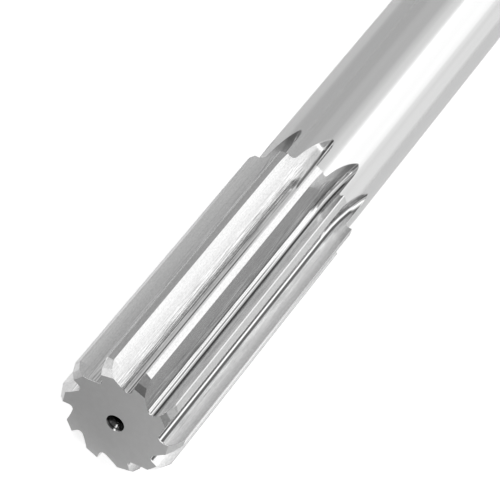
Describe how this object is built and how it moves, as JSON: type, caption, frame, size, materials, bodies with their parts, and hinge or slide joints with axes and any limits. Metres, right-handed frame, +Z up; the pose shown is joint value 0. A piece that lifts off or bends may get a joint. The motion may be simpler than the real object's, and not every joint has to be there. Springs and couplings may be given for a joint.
{
  "type": "solid machine reamer",
  "caption": "One-piece straight-flute machine reamer with chamfered lead, straight lands, ground flute run-outs and a plain round shank, for sizing a drilled hole to an exact diameter.",
  "frame": {"origin": "centre of the shank's flat rear end, on the tool's axis, where the tool meets the stop in its holder", "axes": "+X along the tool's axis, from the shank towards the cutting end; +Z up as the tool lies on two neighbouring teeth; +Y completes the right-handed frame"},
  "size_m": [0.2667, 0.0254, 0.0244],
  "materials": {
    "ground_steel": "bright ground high-speed steel, fine grinding lines along the teeth and round the shank"
  },
  "bodies": {
    "root": {"reamer": "ground_steel"}
  },
  "joints": []
}
